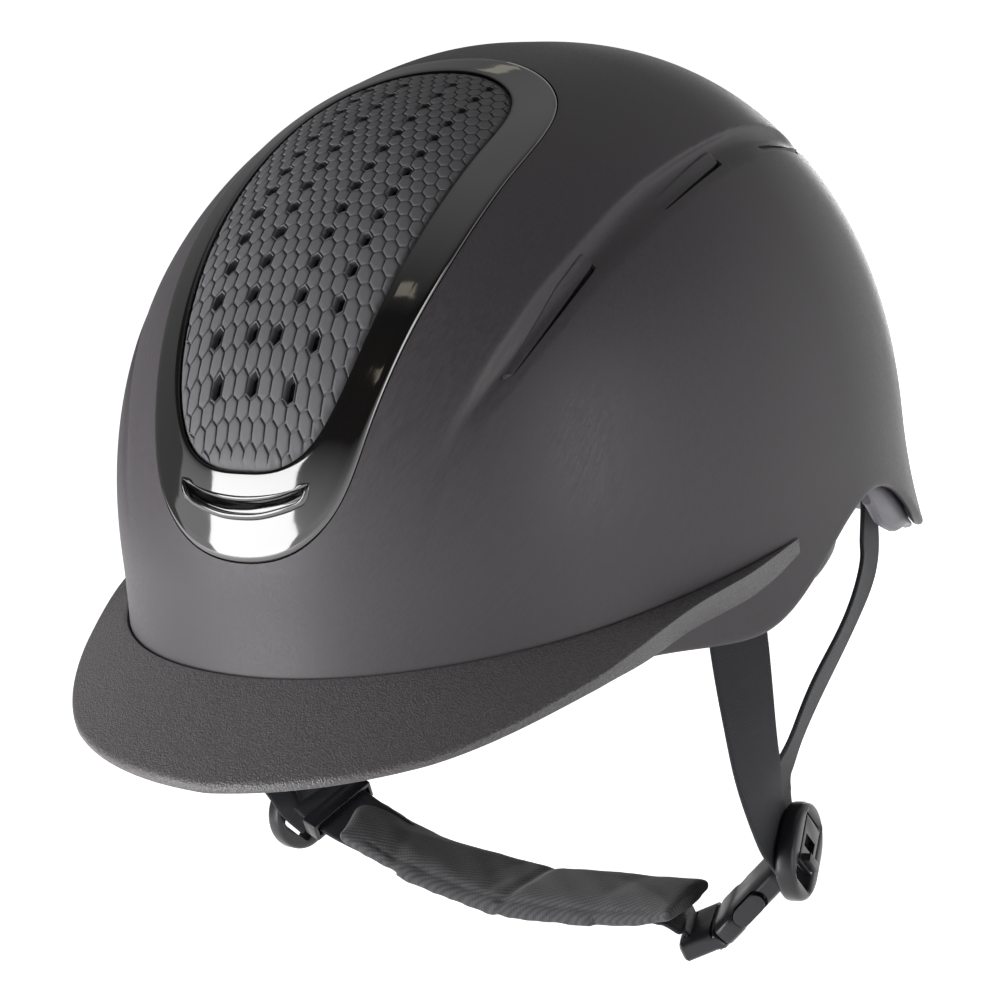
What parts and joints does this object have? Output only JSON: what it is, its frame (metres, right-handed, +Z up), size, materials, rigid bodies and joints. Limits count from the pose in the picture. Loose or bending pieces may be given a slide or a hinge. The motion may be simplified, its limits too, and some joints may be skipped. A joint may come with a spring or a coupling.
{
  "type": "riding helmet",
  "caption": "Vented riding helmet with a short curved peak, honeycomb front panel, padded liner, rear size dial and a four-strap chin harness with a side-release buckle.",
  "frame": {"origin": "centre of the head opening, at the level of the head band", "axes": "+Z up towards the crown, the helmet faces -Y, +X is the wearer's left"},
  "size_m": [0.2086, 0.308, 0.2703],
  "materials": {
    "shell_soft_touch": "soft touch, matte",
    "frame_gloss": "black chrome gloss",
    "panel_rubber": "matte, honeycomb relief",
    "peak_grained": "fine leather grain",
    "vent_matte": "soft touch, matte",
    "liner_foam": "moulded bead foam",
    "skirt_grey": "smooth satin",
    "trim_fabric": "soft edging",
    "pad_fabric": "brushed knit",
    "webbing": "fine diagonal weave",
    "chin_twill": "charcoal twill",
    "hardware_gloss": "moulded gloss",
    "fitting_plastic": "moulded satin",
    "dial_rubber": "soft grip",
    "screw_steel": "zinc plated"
  },
  "bodies": {
    "helmet": {"outer_shell": "shell_soft_touch", "front_frame": "frame_gloss", "vent_panel": "panel_rubber", "peak": "peak_grained", "side_vents_left": "vent_matte", "side_vents_right": "vent_matte", "impact_liner": "liner_foam", "nape_skirt": "skirt_grey", "rim_trim": "trim_fabric", "brow_pad": "pad_fabric", "crown_pad": "pad_fabric", "side_pad_left": "pad_fabric", "side_pad_right": "pad_fabric", "strap_anchors": "fitting_plastic", "front_strap_left": "webbing", "front_strap_right": "webbing", "rear_strap_left": "webbing", "rear_strap_right": "webbing", "divider_left": "hardware_gloss", "divider_right": "hardware_gloss", "socket_strap": "webbing", "buckle_socket": "hardware_gloss", "buckle_block": "hardware_gloss", "chin_strap": "webbing", "chin_pad": "chin_twill", "guide_rails": "fitting_plastic"},
    "cradle": {"nape_cradle": "fitting_plastic", "dial_cover": "fitting_plastic", "cover_screws": "screw_steel", "nape_pad": "pad_fabric"},
    "dial": {"size_dial": "dial_rubber", "dial_pinion": "fitting_plastic"},
    "band_left": {"head_band_left": "fitting_plastic"},
    "band_right": {"head_band_right": "fitting_plastic"},
    "lever_left": {"divider_lever_left": "hardware_gloss"},
    "lever_right": {"divider_lever_right": "hardware_gloss"},
    "arm_front": {"buckle_arm_front": "hardware_gloss"},
    "arm_rear": {"buckle_arm_rear": "hardware_gloss"},
    "keeper": {"strap_keeper": "hardware_gloss"}
  },
  "joints": [
    {"name": "cradle_slide", "type": "slide", "parent": "helmet", "child": "cradle", "axis": [0, -1, 0], "range_m": [0, 0.008]},
    {"name": "dial_turn", "type": "hinge", "parent": "cradle", "child": "dial", "pos_m": [0, 0.112, -0.056], "axis": [0, 1, 0], "range_deg": [0, 114.6]},
    {"name": "band_left_slide", "type": "slide", "parent": "cradle", "child": "band_left", "axis": [-1, 0, 0], "range_m": [0, 0.008]},
    {"name": "band_right_slide", "type": "slide", "parent": "cradle", "child": "band_right", "axis": [1, 0, 0], "range_m": [0, 0.008]},
    {"name": "lever_left_open", "type": "hinge", "parent": "helmet", "child": "lever_left", "pos_m": [0.09113, -0.0003, -0.10392], "axis": [0.1228, -0.6964, 0.7071], "range_deg": [0, 80]},
    {"name": "lever_right_open", "type": "hinge", "parent": "helmet", "child": "lever_right", "pos_m": [-0.09113, -0.0003, -0.10392], "axis": [0.1228, 0.6964, -0.7071], "range_deg": [0, 80]},
    {"name": "arm_front_press", "type": "hinge", "parent": "helmet", "child": "arm_front", "pos_m": [0.06326, -0.01391, -0.13805], "axis": [-0.623, -0.2774, 0.7314], "range_deg": [0, 8], "stiffness_Nm_per_rad": 0.3},
    {"name": "arm_rear_press", "type": "hinge", "parent": "helmet", "child": "arm_rear", "pos_m": [0.05593, 0.00253, -0.13805], "axis": [0.623, 0.2774, -0.7314], "range_deg": [0, 8], "stiffness_Nm_per_rad": 0.3},
    {"name": "keeper_slide", "type": "slide", "parent": "helmet", "child": "keeper", "axis": [0.9114, -0.2172, -0.3495], "range_m": [-0.003, 0.003]}
  ],
  "couplings": [
    {"joint": "dial_turn", "follows": "cradle_slide", "rad_per_m": 250},
    {"joint": "band_left_slide", "follows": "cradle_slide", "ratio": 1},
    {"joint": "band_right_slide", "follows": "cradle_slide", "ratio": 1}
  ]
}
